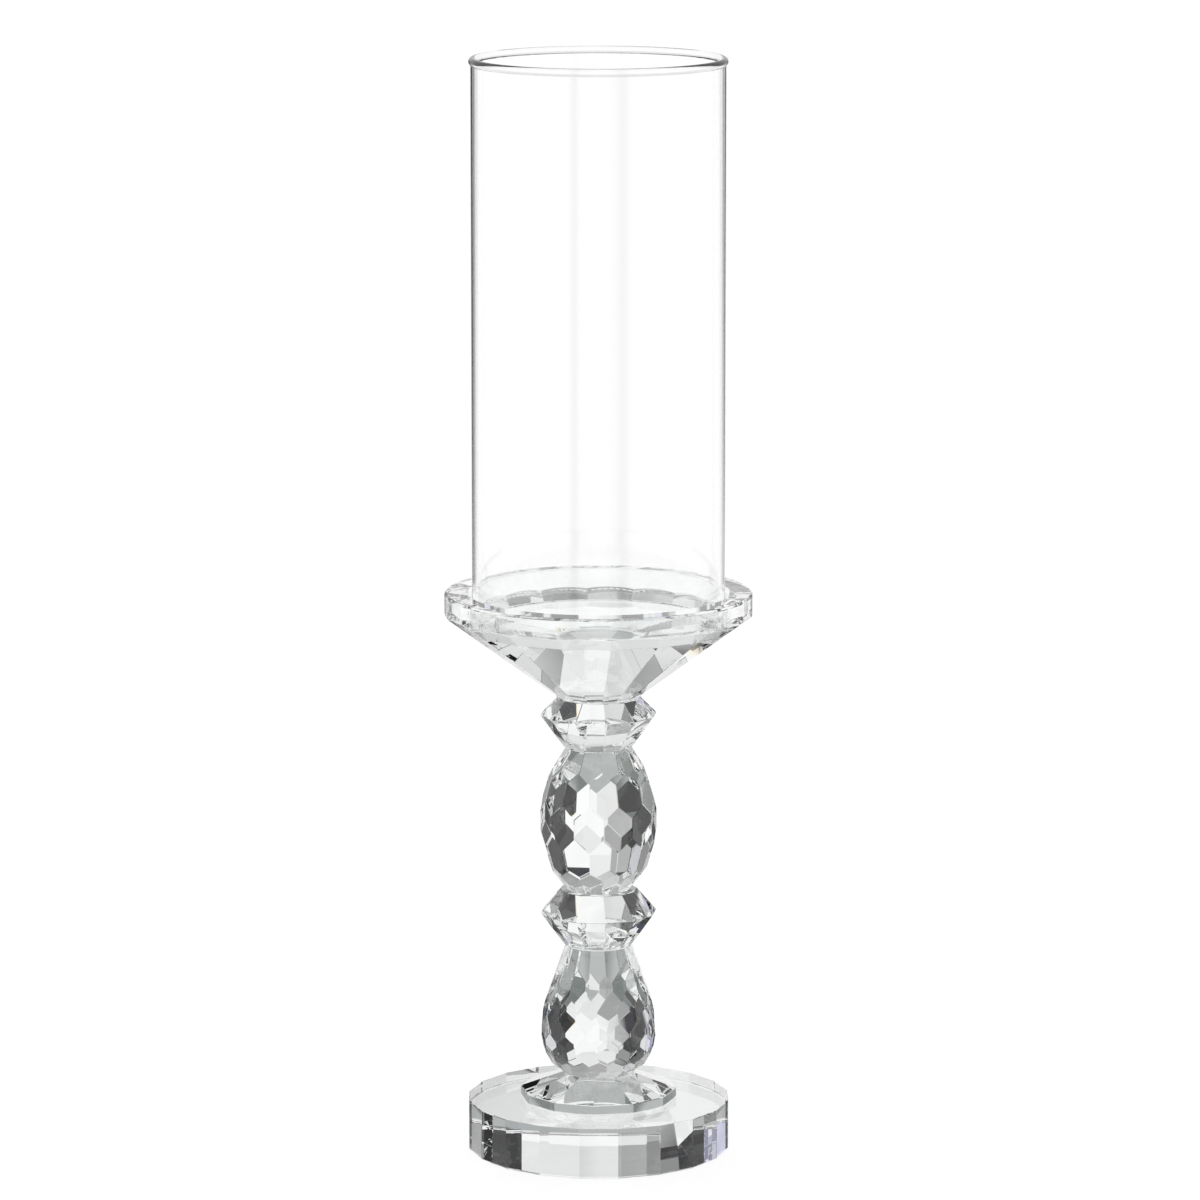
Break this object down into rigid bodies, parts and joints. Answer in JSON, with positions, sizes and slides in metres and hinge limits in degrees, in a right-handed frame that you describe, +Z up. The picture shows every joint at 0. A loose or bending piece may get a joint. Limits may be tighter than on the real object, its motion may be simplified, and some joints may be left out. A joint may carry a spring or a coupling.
{
  "type": "hurricane candle lantern",
  "caption": "Clear cut-crystal pedestal candle holder with a recessed cup, faceted bead stem, thick round base and a lift-off glass cylinder shade.",
  "frame": {"origin": "centre of the base's underside, where the lantern stands", "axes": "+Z up the stem; -Y is the front, the side first looked at; +X to its right"},
  "size_m": [0.1206, 0.1206, 0.432],
  "materials": {
    "crystal": "clear optical crystal, flat ground and polished facets with sharp edges",
    "shade_glass": "clear drawn glass tube with a fire-polished lip",
    "adhesive": "clear cured adhesive film"
  },
  "bodies": {
    "stand": {"candle_cup": "crystal", "upper_collar": "crystal", "oval_bead": "crystal", "lower_collar": "crystal", "pear_bead": "crystal", "foot_cone": "crystal", "base_disc": "crystal", "cup_bond": "adhesive", "upper_collar_bond": "adhesive", "oval_bond": "adhesive", "lower_collar_bond": "adhesive", "pear_bond": "adhesive", "foot_bond": "adhesive"},
    "shade": {"hurricane_shade": "shade_glass"}
  },
  "joints": [
    {"name": "shade_lift", "type": "slide", "parent": "stand", "child": "shade", "axis": [0, 0, 1], "range_m": [0, 0.08]}
  ]
}
